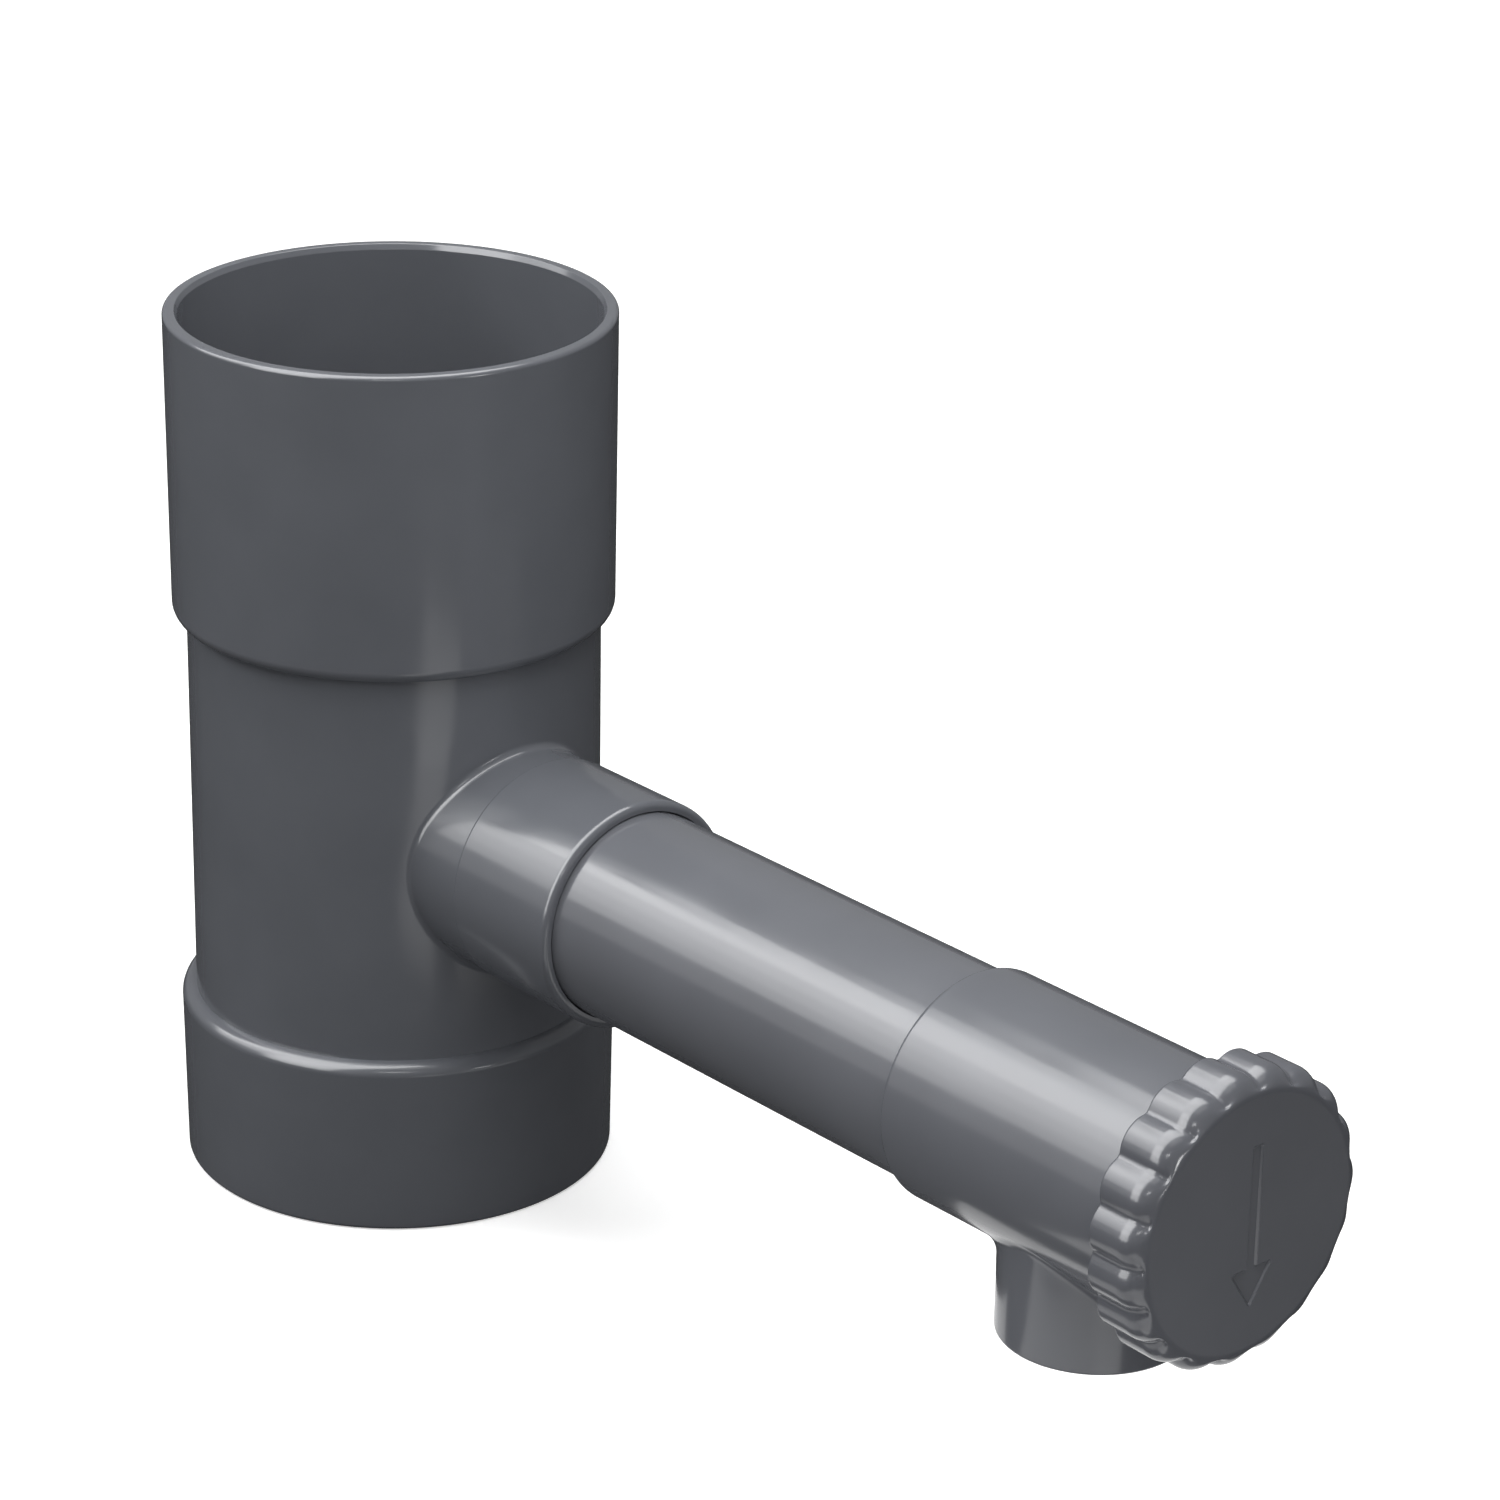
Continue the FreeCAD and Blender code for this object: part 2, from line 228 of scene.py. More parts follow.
def borderAngles(border, radius, centre):
    # atan2(angle * radius, along - centre): the angle of each point of the loop round the branch's axis
    return np.arctan2(border[:, 0] * radius, border[:, 1] - centre)


def holeOnWall(radius, reach, centre, phi):
    # Where a round of that reach meets the wall: (asin(reach sin phi / radius), centre + reach cos phi)
    return np.stack([np.arcsin(reach * np.sin(phi) / radius), centre + reach * np.cos(phi)], -1)


def wallPatch(place, radius, hole, border):
    # Straight lines in the unrolled wall, hole (1 - t) + border t, from the hole's edge to the window's border.
    # t is a power of the row's share, so the rows lie closer at the hole.
    t = np.linspace(0, 1, meshing["patchRows"] + 1)[:, None, None] ** meshing["patchPower"]
    unrolled = hole * (1 - t) + border * t
    angle, along = unrolled[..., 0], unrolled[..., 1]
    return place(along, radius * np.cos(angle), radius * np.sin(angle))


def junctionRound(place, wall, pipe, rounding, centre, phi):
    # Rolling ball of radius f between a wall of radius R and a pipe of radius p at right angles to it.
    # Its centre runs along ((R + f)^2 - ((p + f) sin phi)^2)^0.5 out, (p + f) sin phi aside.
    reach = pipe + rounding
    side = reach * np.sin(phi)
    out = np.sqrt((wall + rounding) ** 2 - side ** 2)
    zero = np.zeros_like(phi)
    ball = np.stack([centre + reach * np.cos(phi), out, side], -1)
    toPipe = np.stack([-np.cos(phi), zero, -np.sin(phi)], -1)
    toWall = -np.stack([zero, out, side], -1) / (wall + rounding)
    surface = ball + rounding * slerp(toWall, toPipe, np.linspace(0, 1, meshing["fillet"] + 1))
    return place(surface[..., 0], surface[..., 1], surface[..., 2]), out


def branchRows(place, profile, firstRadius, firstOut, lastOut, centre, phi):
    # A pipe about the branch's axis: (centre + r cos phi, out, r sin phi). Its first and last rows follow the walls,
    # and the rows between them and the profile are blended in straight lines.
    t = (np.arange(meshing["joins"]) / meshing["joins"])[:, None]
    r = profile[:, :1] + 0 * phi
    out = profile[:, 1:] + 0 * phi
    headRadius = firstRadius * (1 - t) + r[:1] * t
    head = firstOut * (1 - t) + out[:1] * t
    tail = lastOut * (1 - t[::-1]) + out[-1:] * t[::-1]
    r = np.concatenate([headRadius, r, r[-1:] + 0 * tail])
    out = np.concatenate([head, out, tail])
    return place(centre + r * np.cos(phi), out, r * np.sin(phi))


def branchedShell(place, profile, walls, pipe, rounding, branch, centre, halfAngle):
    # Turned piece with a branch: both walls of the carrier get a window, and the branch joins the two
    shell = Shell()
    windows = []
    borders = []
    for wall in walls:
        window = windowOf(profile, wall["radius"], wall["low"], wall["high"], halfAngle)
        windows.append((min(window[:2]), max(window[:2]), window[2], window[3]))
        borders.append(windowBorder(profile, windows[-1]))
    shell.add(turned(place, profile), closedRows=True, holes=windows)
    outer, inner = walls
    phi = borderAngles(borders[0], outer["radius"], centre)
    outerHole = holeOnWall(outer["radius"] + rounding, pipe + rounding, centre, phi)
    shell.add(wallPatch(place, outer["radius"], outerHole, borders[0]))
    roundGrid, firstOut = junctionRound(place, outer["radius"], pipe, rounding, centre, phi)
    shell.add(roundGrid)
    bore = branch[-1, 0]
    lastOut = np.sqrt(inner["radius"] ** 2 - (bore * np.sin(phi)) ** 2)
    shell.add(branchRows(place, branch, pipe, firstOut, lastOut, centre, phi))
    innerHole = holeOnWall(inner["radius"], bore, centre, phi)
    shell.add(wallPatch(place, inner["radius"], innerHole, borders[1]))
    return shell


bodySizes = {
    "pipeBore": 52.9, "tubeRadius": 52.5, "tubeBore": 49.8,
    "collarFoot": 55.5, "collarTop": 56.2, "collarLength": 46.5,
    "socketFoot": 56.1, "socketTop": 56.6, "socketStart": 149.4, "rim": 228.6,
    "shoulderRound": 3.2, "mouthRound": 1.1, "leadIn": 1.4, "leadInStep": 0.7,
    "pipeStop": 35.9, "pocketRadius": 51.4, "lowerStop": 38.5, "upperStop": 157.4,
    "branchBase": 28.9, "branchRadius": 29.4, "branchStart": 61.5, "branchTaper": 0.7, "branchReach": 97.2,
    "branchRound": 1.6, "branchBore": 26.6, "branchLeadIn": 0.7, "branchLeadInStep": 0.35, "armBore": 24.6,
    "junctionRound": 2.0, "window": 40.0, "windowAngle": 45.0,
    "leadInRound": 0.5, "seatRound": 0.3, "stopRound": 0.4, "pocketRound": 0.2, "taperRound": 0.4, "taperRun": 0.3,
}


def makeBody():
    # Sockets and tube turned about the body's axis, with the branch rounded into the tube's wall
    b = bodySizes
    low, high = armHeight - b["window"], armHeight + b["window"]
    profile = outline([
        (b["pipeBore"], 0, 0),
        (b["collarFoot"], 0, b["mouthRound"], 6),
        (b["collarTop"], b["collarLength"], b["shoulderRound"]),
        (b["tubeRadius"], b["collarLength"], 0),
        (b["tubeRadius"], low, 0, 16),
        (b["tubeRadius"], high, 0),
        (b["tubeRadius"], b["socketStart"], 0),
        (b["socketFoot"], b["socketStart"], b["shoulderRound"], 8),
        (b["socketTop"], b["rim"], b["mouthRound"]),
        (b["pipeBore"] + b["leadInStep"], b["rim"], b["seatRound"]),
        (b["pipeBore"], b["rim"] - b["leadIn"], b["leadInRound"], 8),
        (b["pipeBore"], b["upperStop"], b["seatRound"]),
        (b["tubeBore"], b["upperStop"], b["stopRound"]),
        (b["tubeBore"], high, 0, 16),
        (b["tubeBore"], low, 0),
        (b["tubeBore"], b["lowerStop"], b["stopRound"]),
        (b["pocketRadius"], b["lowerStop"], b["pocketRound"]),
        (b["pocketRadius"], b["pipeStop"], b["pocketRound"]),
        (b["pipeBore"], b["pipeStop"], b["seatRound"], 4),
    ], closed=True)
    branch = outline([
        (b["branchBase"], b["branchStart"] - b["taperRun"], 0),
        (b["branchBase"], b["branchStart"], b["taperRound"]),
        (b["branchRadius"], b["branchStart"] + b["branchTaper"], b["taperRound"], 6),
        (b["branchRadius"], b["branchReach"], b["branchRound"]),
        (b["branchBore"] + b["branchLeadInStep"], b["branchReach"], 0),
        (b["branchBore"], b["branchReach"] - b["branchLeadIn"], 0, 6),
        (b["branchBore"], b["branchStart"], 0),
        (b["armBore"], b["branchStart"], 0),
    ], closed=False)
    walls = [
        {"radius": b["tubeRadius"], "low": low, "high": high},
        {"radius": b["tubeBore"], "low": low, "high": high},
    ]
    return branchedShell(aboutBody, profile, walls, b["branchBase"], b["junctionRound"], branch,
                         armHeight, b["windowAngle"]).build("diverterBody")


teeSizes = {
    "start": 216.5, "end": 300.9, "radius": 28.5, "edgeRound": 1.4,
    "socketBore": 26.6, "chamberBore": 25.0, "chamberStart": 234.8,
    "outletRadius": 22.3, "outletRoot": 22.38, "outletSeat": 33.7,
    "outletBore": 19.8, "outletReach": 45.0, "outletRound": 0.8,
    "junctionRound": 4.4, "windowOuter": 32.0, "windowInner": 22.5, "windowAngle": 67.5,
    "boreRound": 0.35, "chamberRound": 0.3, "stepRound": 0.2, "outletBoreRound": 0.4,
}


def makeTee():
    # Barrel turned about the arm's axis, with the outlet rounded into its lower side
    s = teeSizes
    outerLow, outerHigh = outletX - s["windowOuter"], outletX + s["windowOuter"]
    innerLow, innerHigh = outletX - s["windowInner"], outletX + s["windowInner"]
    profile = outline([
        (s["socketBore"], s["start"], s["boreRound"]),
        (s["radius"], s["start"], s["edgeRound"]),
        (s["radius"], outerLow, 0, 16),
        (s["radius"], outerHigh, 0),
        (s["radius"], s["end"], s["edgeRound"]),
        (s["chamberBore"], s["end"], s["chamberRound"]),
        (s["chamberBore"], innerHigh, 0, 16),
        (s["chamberBore"], innerLow, 0),
        (s["chamberBore"], s["chamberStart"], s["stepRound"]),
        (s["socketBore"], s["chamberStart"], s["stepRound"], 3),
    ], closed=True)
    branch = outline([
        (s["outletRadius"], s["outletSeat"], 0, 3),
        (s["outletRadius"], s["outletReach"], s["outletRound"]),
        (s["outletBore"], s["outletReach"], s["outletBoreRound"]),
        (s["outletBore"], s["outletSeat"], 0),
    ], closed=False)
    walls = [
        {"radius": s["radius"], "low": outerLow, "high": outerHigh},
        {"radius": s["chamberBore"], "low": innerLow, "high": innerHigh},
    ]
    return branchedShell(aboutArm, profile, walls, s["outletRoot"], s["junctionRound"], branch,
                         outletX, s["windowAngle"]).build("outletTee")


pipeSizes = {"radius": 26.5, "bore": 24.6, "start": 61.5, "end": 232.0, "edge": 0.5, "boreEdge": 0.2}


def makeArmPipe():
    # Plain pipe with eased ends
    p = pipeSizes
    shell = Shell()
    shell.add(turned(aboutArm, outline([
        (p["bore"], p["start"], p["boreEdge"]),
        (p["radius"], p["start"], p["edge"], 20),
        (p["radius"], p["end"], p["edge"]),
        (p["bore"], p["end"], p["boreEdge"], 10),
    ], closed=True)), closedRows=True)
    return shell.build("armPipe")


ringSizes = {
    "flangeRadius": 51.3, "flangeStart": 36.1, "flangeEnd": 38.5, "radius": 49.7, "skirtBore": 47.7,
    "grooveRadius": 47.3, "grooveLow": 63.5, "grooveHigh": 65.9, "headBottom": 62.3, "headBore": 45.3,
    "floorBottom": 68.3, "floorTop": 70.8, "weirRadius": 36.0, "weirBore": 33.8, "weirTop": 111.8,
    "edge": 0.25, "corner": 0.15, "weirRound": 1.0, "headSlope": 2.0,
}


def makeCatchRing():
    # Skirt, seal groove, trough floor and weir, turned about the body's axis
    s = ringSizes
    profile = outline([
        (s["skirtBore"], s["flangeStart"], s["edge"]),
        (s["flangeRadius"], s["flangeStart"], s["edge"]),
        (s["flangeRadius"], s["flangeEnd"], s["edge"]),
        (s["radius"], s["flangeEnd"], s["corner"], 3),
        (s["radius"], s["grooveLow"], s["edge"]),
        (s["grooveRadius"], s["grooveLow"], s["corner"]),
        (s["grooveRadius"], s["grooveHigh"], s["corner"]),
        (s["radius"], s["grooveHigh"], s["edge"]),
        (s["radius"], s["floorTop"], s["edge"]),
        (s["weirRadius"], s["floorTop"], s["weirRound"], 4),
        (s["weirRadius"], s["weirTop"], s["weirRound"]),
        (s["weirBore"], s["weirTop"], s["weirRound"], 4),
        (s["weirBore"], s["floorBottom"], s["weirRound"]),
        (s["headBore"], s["floorBottom"], s["edge"]),
        (s["headBore"], s["headBottom"], s["edge"]),
        (s["skirtBore"], s["headBottom"] - s["headSlope"], s["edge"], 3),
    ], closed=True)
    shell = Shell()
    shell.add(turned(aboutBody, profile), closedRows=True)
    return shell.build("catchRing")


knobSizes = {
    "back": 290.4, "face": 304.8, "faceRadius": 30.3, "frontRound": 5.8, "backRound": 0.7, "runOut": (0.22, 0.65),
    "lobes": 19, "firstValley": 3.0, "crest": 35.6, "lobeRadius": 7.5, "valleyRadius": 1.5,
    "lobeSteps": 8, "valleySteps": 8, "frontSteps": 26, "backSteps": 5,
    "skirtBore": 31.8, "capInside": 301.4, "bossRadius": 21.27, "bossBore": 19.07, "bossStart": 293.5,
    "ribs": 9, "ribWidth": 1.6, "ribInner": 28.9, "ribRoot": 32.6, "ribStart": 291.8, "ribRound": 0.35,
    "ribSlack": 0.05, "ribFoot": 0.1, "ribDepth": 0.5, "keyWidth": 4.0, "keyReach": 22.47, "keyDepth": 0.6,
    "edge": 0.25, "skirtRound": 0.4, "bossRound": 0.3,
}
arrowSizes = {
    "depth": 0.5, "side": 1.2, "top": 18.6, "tip": -20.6, "headLength": 9.6, "headWidth": 12.6,
    "shaftWidth": 3.0, "corner": 0.45, "ease": 0.12, "easeSteps": 3, "draft": 0.30, "foot": 0.08,
    "floorSupport": 0.08,
}


def lobedOutline():
    # One period is half a lobe, a valley and half a lobe. A lobe point is its centre plus lobeRadius times the
    # outward normal, and a valley point is the valley's centre minus valleyRadius times that normal.
    # Gives points and normals as (up, side) pairs.
    k = knobSizes
    pitch = math.pi / k["lobes"]
    centre = k["crest"] - k["lobeRadius"]
    up, side = centre * math.cos(pitch), centre * math.sin(pitch)
    valley = up + math.sqrt((k["lobeRadius"] + k["valleyRadius"]) ** 2 - side ** 2)
    touch = math.atan2(side, valley - up)
    first = np.linspace(-pitch, touch, k["lobeSteps"] + 1)[:-1]
    hollow = np.linspace(touch, -touch, k["valleySteps"] + 1)
    last = np.linspace(-touch, pitch, k["lobeSteps"] + 1)[1:-1]
    angle = np.concatenate([first, hollow, last])
    normal = np.stack([np.cos(angle), np.sin(angle)], -1)
    points = np.concatenate([
        (up, -side) + k["lobeRadius"] * normal[:len(first)],
        (valley, 0) - k["valleyRadius"] * normal[len(first):len(first) + len(hollow)],
        (up, side) + k["lobeRadius"] * normal[len(first) + len(hollow):],
    ])
    turn = 2 * pitch * np.arange(k["lobes"])[:, None, None] + math.radians(k["firstValley"])
    cos, sin = np.cos(turn), np.sin(turn)

    def spread(pairs):
        # Each (up, side) pair turned to the place of each lobe
        u, v = pairs[None, :, :1], pairs[None, :, 1:]
        return np.concatenate([u * cos - v * sin, u * sin + v * cos], -1).reshape(-1, 2)

    return spread(points), spread(normal)


def arrowLoop(grow):
    # The arrow's outline moved out by grow: each corner p goes to p + grow (n1 + n2) / (1 + n1 . n2), with n1 and
    # n2 the outward normals of its two sides. Outer corners get rounder by grow, and inner ones sharper.
    a = arrowSizes
    shaft, head, shoulder = a["shaftWidth"] / 2, a["headWidth"] / 2, a["tip"] + a["headLength"]
    corners = np.array([(a["top"], -shaft), (a["top"], shaft), (shoulder, shaft), (shoulder, head),
                        (a["tip"], 0), (shoulder, -head), (shoulder, -shaft)]) + (0, a["side"])
    inner = np.array([0, 0, 1, 0, 0, 0, 1])
    sides = np.roll(corners, -1, 0) - corners
    sides /= np.linalg.norm(sides, axis=1, keepdims=True)
    after = np.stack([sides[:, 1], -sides[:, 0]], -1)
    after *= np.sign(after[0, 0])
    before = np.roll(after, 1, 0)
    moved = corners + grow * (before + after) / (1 + (before * after).sum(1, keepdims=True))
    rounding = a["corner"] + grow * (1 - 2 * inner)
    return outline([(*p, r, 8) for p, r in zip(moved, rounding)], closed=True)


def atFace(pairs, along):
    # (up, side) pairs round the arm's axis, at a distance along it
    return np.stack([along + 0 * pairs[:, 0], pairs[:, 1], armHeight + pairs[:, 0]], -1) * mm


def quarter(steps):
    # sin and cos of the angles of a quarter turn
    t = np.linspace(0, math.pi / 2, steps + 1)
    return list(zip(np.sin(t), np.cos(t)))


def ribBar(turn, width, inner, outer, start, end):
    # Rounded bar along the arm, turned about its axis. Its cross section shrinks by the rounding at both ends.
    full = knobSizes["ribRound"]
    rows = []
    for inset, along in ((full, start), (0, start + full), (0, end - knobSizes["ribFoot"]), (full, end)):
        half = width / 2 - inset
        rounding = full + knobSizes["ribSlack"] - inset
        loop = outline([(inner + inset, -half, rounding), (outer - inset, -half, rounding),
                        (outer - inset, half, rounding), (inner + inset, half, rounding)], closed=True)
        cos, sin = math.cos(turn), math.sin(turn)
        rows.append(atFace(loop @ np.array([[cos, sin], [-sin, cos]]), along))
    return np.stack(rows)


def makeKnob():
    # Front rows: r = face radius + (crest - face radius) sin t - (crest - lobed radius) g, x = start + round cos t, so
    # the hollows run on over the round and end before the face. g is a smooth step p p (3 - 2 p) from 0 to 1, with p
    # the place of sin t between the two runOut values.
    # Back rows: the lobed outline moved in by round (1 - cos t). Then circles for the hollow inside.
    k, a = knobSizes, arrowSizes
    points, normals = lobedOutline()
    front, back = k["frontRound"], k["backRound"]
    reach = np.linalg.norm(points, axis=1, keepdims=True)
    way = points / reach
    low, high = k["back"] + back, k["face"] - front
    lobed = [atFace(way * (k["faceRadius"] - meshing["support"]), k["face"])]
    for s, c in quarter(k["frontSteps"]):
        part = min(max((s - k["runOut"][0]) / (k["runOut"][1] - k["runOut"][0]), 0), 1)
        radius = k["faceRadius"] + (k["crest"] - k["faceRadius"]) * s
        lobed.append(atFace(way * (radius - (k["crest"] - reach) * part * part * (3 - 2 * part)), high + front * c))
    lobed += [atFace(points, x) for x in ((low + high) / 2, low + meshing["support"])]
    lobed += [atFace(points - back * (1 - c) * normals, k["back"] + back * (1 - s)) for s, c in quarter(k["backSteps"])]
    lobed = np.stack(lobed)
    inside = outline([
        (k["skirtBore"], k["back"], k["edge"], 4),
        (k["skirtBore"], k["capInside"], k["skirtRound"], 3),
        (k["bossRadius"], k["capInside"], k["bossRound"]),
        (k["bossRadius"], k["bossStart"], k["edge"]),
        (k["bossBore"], k["bossStart"], k["edge"], 3),
        (k["bossBore"], k["capInside"], k["bossRound"], 5),
        (0, k["capInside"], 0),
    ], closed=False)[1:]
    inside = np.concatenate([[(k["skirtBore"] + k["edge"], k["back"])], inside])
    hollow = np.stack([atFace(way * r, x) for r, x in inside])
    ease, floor = a["ease"], -a["draft"] - a["foot"]
    steps = [(ease + meshing["support"], 0)]
    steps += [(ease * c, ease * (1 - s)) for s, c in quarter(a["easeSteps"])]
    steps += [(-a["draft"], a["depth"] - a["foot"]), (floor, a["depth"]), (floor - a["floorSupport"], a["depth"])]
    arrow = np.stack([atFace(arrowLoop(grow), k["face"] - depth) for grow, depth in steps])
    shell = Shell()
    shell.add(np.concatenate([lobed, hollow]))
    shell.add(arrow)
    ribEnd = k["capInside"] + k["ribDepth"]
    for i in range(k["ribs"]):
        shell.add(ribBar(2 * math.pi * (i + 0.5) / k["ribs"], k["ribWidth"], k["ribInner"], k["ribRoot"],
                         k["ribStart"], ribEnd))
    for turn in (0, math.pi):
        shell.add(ribBar(turn, k["keyWidth"], k["bossBore"] + k["keyDepth"], k["keyReach"], k["bossStart"], ribEnd))
    rim, arrowStart, arrowRow = len(points), (len(lobed) + len(inside)) * len(points), arrow.shape[1]
    arrowEnd = arrowStart + (len(steps) - 1) * arrowRow

    def fillFlats(work):
        # the face between its rim and the arrow, then the arrow's own floor
        work.verts.ensure_lookup_table()
        loops = {"rim": (0, rim), "edge": (arrowStart, arrowRow), "floor": (arrowEnd, arrowRow)}
        edges = {}
        for name, (start, count) in loops.items():
            edges[name] = [work.edges.get((work.verts[start + i], work.verts[start + (i + 1) % count]))
                           for i in range(count)]
        for group in (edges["rim"] + edges["edge"], edges["floor"]):
            bmesh.ops.triangle_fill(work, use_beauty=True, use_dissolve=False, edges=group, normal=(1, 0, 0))

    return shell.build("knobCap", fillFlats, fillEnds=True)


def dress(node, piece, body, material):
    # The piece stands for its CAD node, which it hides, rides on the node's body and gets the material given
    piece.data.materials.clear()
    piece.data.materials.append(material)
    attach(piece, body)
    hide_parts(node)


plasticLooks = {
    "bodyPlastic": {"color": (0.120, 0.126, 0.141), "roughness": 0.17, "mottle": 0.05, "grain": 0.0025, "draw": 0},
    # The pipe is the body's plastic, its colour a little paler than the body's: painted light for the brighter lower
    # side of the arm.
    "pipePlasticPaintedLight": {"color": (0.129, 0.134, 0.149), "roughness": 0.15, "mottle": 0.04, "grain": 0.0010, "draw": 0.003},
    "teePlastic": {"color": (0.122, 0.127, 0.142), "roughness": 0.16, "mottle": 0.04, "grain": 0.0015, "draw": 0},
    "knobPlastic": {"color": (0.105, 0.109, 0.123), "roughness": 0.18, "mottle": 0.05, "grain": 0.0025, "draw": 0},
    "innerPlastic": {"color": (0.070, 0.072, 0.078), "roughness": 0.42, "mottle": 0.06, "grain": 0.0040, "draw": 0},
}
rubberLook = {"color": (0.018, 0.018, 0.019), "roughness": 0.55, "grain": 0.02}
# Noises as (scale, detail). Gloss spreads the roughness between two shares of it, and the depth is in millimetres.
plasticNoise = {"cloud": (28, 3), "gloss": (55, 4), "waves": (60, 1), "grain": (700, 2), "draw": (420, 3)}
plasticSpread = {"gloss": (0.86, 1.16), "waveDepth": 0.05, "drawStretch": (0.02, 1, 1)}
rubberNoise = {"cloud": (90, 3), "gloss": (300, 2), "grain": (3000, 3)}
rubberSpread = {"dark": 0.85, "pale": 1.25, "gloss": (0.9, 1.1)}
weldLine = {
    "low": 128.0, "high": 176.0, "fadeIn": 6.0, "fadeOut": 12.0, "front": 40.0,
    "side": -1.0, "slope": -0.22, "halfWidth": 0.55, "depth": 0.012,
}


class Nodes:
    # Short way to make and join a material's nodes

    def __init__(self, name):
        self.material = bpy.data.materials.new(name)
        self.material.use_nodes = True
        self.tree = self.material.node_tree
        self.shader = self.tree.nodes["Principled BSDF"]
        self.place = self.make("ShaderNodeTexCoord").outputs["Object"]

    def make(self, kind, inputs=None, **settings):
        # Node of a kind, with its inputs joined to sockets or set to values
        node = self.tree.nodes.new(kind)
        for key, value in settings.items():
            setattr(node, key, value)
        for key, value in (inputs or {}).items():
            if isinstance(value, bpy.types.NodeSocket):
                self.tree.links.new(value, node.inputs[key])
            else:
                node.inputs[key].default_value = value
        return node

    def math(self, operation, *values):
        return self.make("ShaderNodeMath", dict(enumerate(values)), operation=operation).outputs[0]

    def noise(self, scale, detail, stretch=(1, 1, 1)):
        mapping = self.make("ShaderNodeMapping", {"Vector": self.place, "Scale": stretch})
        return self.make("ShaderNodeTexNoise", {"Vector": mapping.outputs[0], "Scale": scale,
                                                "Detail": detail}).outputs["Fac"]

    def fit(self, value, low, high, start=0.3, end=0.7):
        # low at start, high at end and a straight line between. A noise lies mostly between 0.3 and 0.7.
        return self.make("ShaderNodeMapRange", {"Value": value, "From Min": start, "From Max": end,
                                                "To Min": low, "To Max": high}).outputs["Result"]

    def paint(self, dark, pale, cloud):
        # Base colour that goes from dark to pale with the cloud
        shade = self.make("ShaderNodeMix", {"Factor": self.fit(cloud, 0, 1), "A": (*dark, 1), "B": (*pale, 1)},
                          data_type="RGBA")
        self.tree.links.new(shade.outputs["Result"], self.shader.inputs["Base Color"])

    def bump(self, height, distance, before=None):
        # Normal tipped by a height from 0 to 1, on top of the bump before it
        inputs = {"Height": height, "Distance": distance, "Strength": 1.0}
        if before is not None:
            inputs["Normal"] = before
        return self.make("ShaderNodeBump", inputs).outputs["Normal"]


def plastic(name, color, roughness, mottle, grain, draw, weld=None):
    # Moulded plastic: broad mottling in colour and gloss, slow waviness, fine skin, and where it is extruded
    # faint lines along the arm
    n = Nodes(name)
    noises, spread = plasticNoise, plasticSpread
    n.paint([c * (1 - mottle) for c in color], [c * (1 + mottle) for c in color], n.noise(*noises["cloud"]))
    gloss = n.fit(n.noise(*noises["gloss"]), *(roughness * share for share in spread["gloss"]))
    n.tree.links.new(gloss, n.shader.inputs["Roughness"])
    normal = n.bump(n.noise(*noises["waves"]), spread["waveDepth"] * mm)
    normal = n.bump(n.noise(*noises["grain"]), grain * mm, normal)
    if draw:
        normal = n.bump(n.noise(*noises["draw"], spread["drawStretch"]), draw * mm, normal)
    if weld:
        normal = n.bump(weldMask(n, weld), weld["depth"] * mm, normal)
    n.tree.links.new(normal, n.shader.inputs["Normal"])
    return n.material


def weldMask(n, w):
    # 1 on a slanting line up the tube's arm side, 0 beyond halfWidth from it: 1 - |y - side - slope (z - low)| / h,
    # with h the half width. It fades in at the low end and out at the high end.
    axes = n.make("ShaderNodeSeparateXYZ", {"Vector": n.place})
    x, y, z = axes.outputs
    rise = n.math("SUBTRACT", z, w["low"] * mm)
    line = n.math("MULTIPLY_ADD", rise, w["slope"], w["side"] * mm)
    away = n.math("ABSOLUTE", n.math("SUBTRACT", y, line))
    mask = n.fit(away, 1, 0, 0, w["halfWidth"] * mm)
    ends = n.math("MULTIPLY", n.fit(z, 0, 1, w["low"] * mm, (w["low"] + w["fadeIn"]) * mm),
                  n.fit(z, 1, 0, (w["high"] - w["fadeOut"]) * mm, w["high"] * mm))
    front = n.math("GREATER_THAN", x, w["front"] * mm)
    return n.math("MULTIPLY", n.math("MULTIPLY", mask, ends), front)


def rubber(name, color, roughness, grain):
    # Seal rubber: nearly black and dull, with a fine moulded skin
    n = Nodes(name)
    noises, spread = rubberNoise, rubberSpread
    n.paint([c * spread["dark"] for c in color], [c * spread["pale"] for c in color], n.noise(*noises["cloud"]))
    gloss = n.fit(n.noise(*noises["gloss"]), *(roughness * share for share in spread["gloss"]))
    n.tree.links.new(gloss, n.shader.inputs["Roughness"])
    n.tree.links.new(n.bump(n.noise(*noises["grain"]), grain * mm), n.shader.inputs["Normal"])
    return n.material


plastics = {name: plastic(name, **look, weld=weldLine if name == "bodyPlastic" else None)
            for name, look in plasticLooks.items()}
sealRubber = rubber("sealRubber", **rubberLook)
print("materials made:", len(plastics) + 1)

for nodeName, node in frame["nodes"].items():
    node.data.materials.clear()
    node.data.materials.append(sealRubber if "seal" in nodeName else plastics["innerPlastic"])

dress("body", makeBody(), "housing", plastics["bodyPlastic"])
dress("arm_pipe", makeArmPipe(), "housing", plastics["pipePlasticPaintedLight"])
dress("outlet_tee", makeTee(), "housing", plastics["teePlastic"])
dress("catch_ring", makeCatchRing(), "housing", plastics["innerPlastic"])
dress("knob", makeKnob(), "valve", plastics["knobPlastic"])

# Spot in metres, angles in radians, lens and sensor in millimetres
cameraSizes = {
    "spot": (0.96576, -0.72482, 0.60801),
    "yaw": 2.4224, "pitch": 0.3913, "roll": -0.0175,
    "lens": 121.78, "sensor": 36.0,
}


